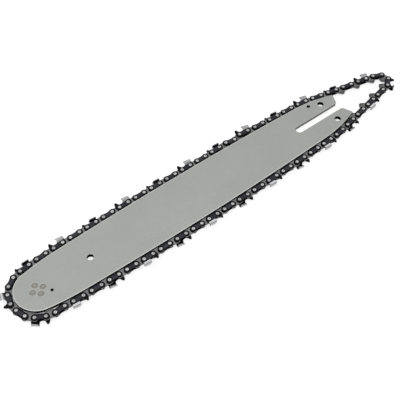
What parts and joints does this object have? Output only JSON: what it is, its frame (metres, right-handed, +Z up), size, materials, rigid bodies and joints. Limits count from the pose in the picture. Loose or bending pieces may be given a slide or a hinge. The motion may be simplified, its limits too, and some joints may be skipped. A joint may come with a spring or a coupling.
{
  "type": "chainsaw guide bar with chain",
  "caption": "Laminated chainsaw guide bar with sprocket nose, slotted tail and adjuster holes, lying flat with its saw chain round the rails and looped past the tail.",
  "frame": {"origin": "middle of the footprint on the ground that the part lies on", "axes": "+X along the bar from nose to tail, +Y across it towards the upper run, +Z up, square to the plates"},
  "size_m": [0.4838, 0.0802, 0.0066],
  "materials": {
    "plate_steel": "satin ground",
    "core_steel": "dull, oiled",
    "sprocket_steel": "hardened",
    "bearing_steel": "ground",
    "nose_rivet_steel": "ground flush",
    "strap_steel": "blued",
    "drive_link_steel": "bright, worn",
    "chain_rivet_steel": "spun heads",
    "cutter_steel": "chromed tooth on a dark foot"
  },
  "bodies": {
    "root": {"back_cutter_01": "cutter_steel", "back_cutter_02": "cutter_steel", "back_cutter_03": "cutter_steel", "back_cutter_04": "cutter_steel", "back_cutter_05": "cutter_steel", "back_cutter_06": "cutter_steel", "back_cutter_07": "cutter_steel", "back_cutter_08": "cutter_steel", "back_cutter_09": "cutter_steel", "back_cutter_10": "cutter_steel", "back_cutter_11": "cutter_steel", "back_cutter_12": "cutter_steel", "back_cutter_13": "cutter_steel", "back_side_plate": "plate_steel", "bearing_race": "bearing_steel", "bearing_rollers": "bearing_steel", "chain_rivets_lower_nose_half": "chain_rivet_steel", "chain_rivets_lower_tail_half": "chain_rivet_steel", "chain_rivets_nose": "chain_rivet_steel", "chain_rivets_tail_loop": "chain_rivet_steel", "chain_rivets_upper_nose_half": "chain_rivet_steel", "chain_rivets_upper_tail_half": "chain_rivet_steel", "core_plate": "core_steel", "drive_links_lower_nose_half": "drive_link_steel", "drive_links_lower_tail_half": "drive_link_steel", "drive_links_nose": "drive_link_steel", "drive_links_tail_loop": "drive_link_steel", "drive_links_upper_nose_half": "drive_link_steel", "drive_links_upper_tail_half": "drive_link_steel", "front_cutter_01": "cutter_steel", "front_cutter_02": "cutter_steel", "front_cutter_03": "cutter_steel", "front_cutter_04": "cutter_steel", "front_cutter_05": "cutter_steel", "front_cutter_06": "cutter_steel", "front_cutter_07": "cutter_steel", "front_cutter_08": "cutter_steel", "front_cutter_09": "cutter_steel", "front_cutter_10": "cutter_steel", "front_cutter_11": "cutter_steel", "front_cutter_12": "cutter_steel", "front_cutter_13": "cutter_steel", "front_side_plate": "plate_steel", "nose_rivets": "nose_rivet_steel", "nose_sprocket": "sprocket_steel", "tie_straps_lower_nose_half": "strap_steel", "tie_straps_lower_tail_half": "strap_steel", "tie_straps_nose": "strap_steel", "tie_straps_tail_loop": "strap_steel", "tie_straps_upper_nose_half": "strap_steel", "tie_straps_upper_tail_half": "strap_steel"}
  },
  "joints": []
}
